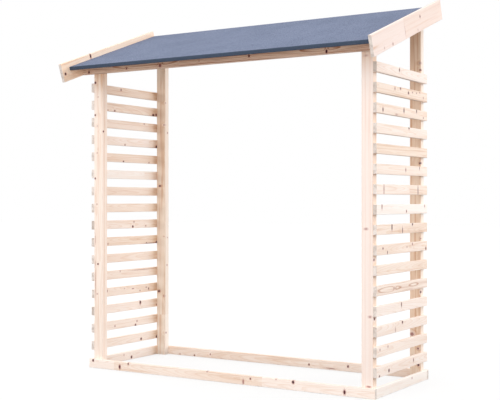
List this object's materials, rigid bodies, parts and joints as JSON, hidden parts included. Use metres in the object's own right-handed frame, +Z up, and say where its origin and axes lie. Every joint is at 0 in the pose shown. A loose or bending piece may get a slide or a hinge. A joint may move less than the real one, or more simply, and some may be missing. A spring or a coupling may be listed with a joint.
{
  "type": "log store",
  "caption": "Open timber log store with slatted sides, open front and back, and a felted lean-to roof between raised barge boards.",
  "frame": {"origin": "on the ground, in the middle of the floor area that the whole store covers", "axes": "+X across the front to the right as seen from the front, +Y from the low front to the high back, +Z up"},
  "size_m": [1.968, 0.8994, 2.0622],
  "materials": {
    "spruce": "planed, untreated",
    "roofing_felt": "matte mineral granules on bitumen"
  },
  "bodies": {
    "root": {"front_left_post": "spruce", "front_right_post": "spruce", "rear_left_post": "spruce", "rear_right_post": "spruce", "front_sill": "spruce", "rear_sill": "spruce", "left_sill": "spruce", "right_sill": "spruce", "left_slat_01": "spruce", "left_slat_02": "spruce", "left_slat_03": "spruce", "left_slat_04": "spruce", "left_slat_05": "spruce", "left_slat_06": "spruce", "left_slat_07": "spruce", "left_slat_08": "spruce", "left_slat_09": "spruce", "left_slat_10": "spruce", "left_slat_11": "spruce", "left_slat_12": "spruce", "left_slat_13": "spruce", "left_slat_14": "spruce", "left_slat_15": "spruce", "left_slat_16": "spruce", "right_slat_01": "spruce", "right_slat_02": "spruce", "right_slat_03": "spruce", "right_slat_04": "spruce", "right_slat_05": "spruce", "right_slat_06": "spruce", "right_slat_07": "spruce", "right_slat_08": "spruce", "right_slat_09": "spruce", "right_slat_10": "spruce", "right_slat_11": "spruce", "right_slat_12": "spruce", "right_slat_13": "spruce", "right_slat_14": "spruce", "right_slat_15": "spruce", "right_slat_16": "spruce", "front_header": "spruce", "rear_header": "spruce", "roof_deck": "spruce", "roof_felt": "roofing_felt", "left_barge_board": "spruce", "right_barge_board": "spruce"}
  },
  "joints": []
}
